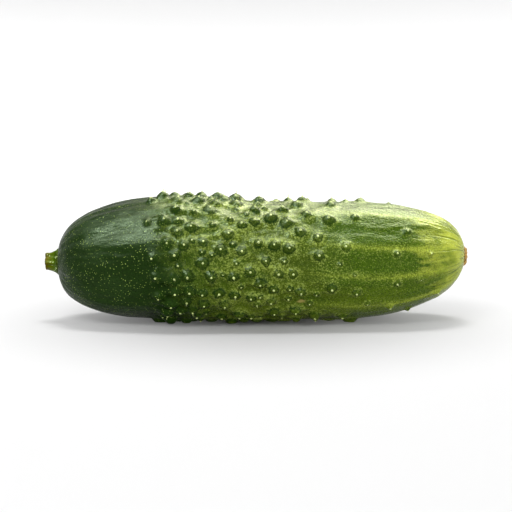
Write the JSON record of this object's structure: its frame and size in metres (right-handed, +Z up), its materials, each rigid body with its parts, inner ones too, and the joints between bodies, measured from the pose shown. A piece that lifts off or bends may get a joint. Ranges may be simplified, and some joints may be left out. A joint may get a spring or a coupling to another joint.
{
  "type": "cucumber",
  "caption": "Short pickling cucumber with warty green skin, faint ribs, a cut stem stub and a brown flower scar.",
  "frame": {"origin": "on the floor, under the middle of the whole cucumber", "axes": "+X runs along the cucumber from the stem to the flower end, +Z is up"},
  "size_m": [0.1318, 0.0404, 0.0402],
  "materials": {
    "skin": "waxy cucumber skin, dark green at the stem passing to yellow-green at the flower end, with pale stripes, fine speckles and pale spine marks on the warts",
    "stem": "yellow-green ribbed stem with a drier brownish cut",
    "scar": "dry corky brown, rough"
  },
  "bodies": {
    "root": {"fruit": "skin", "stem_stub": "stem", "flower_scar": "scar"}
  },
  "joints": []
}
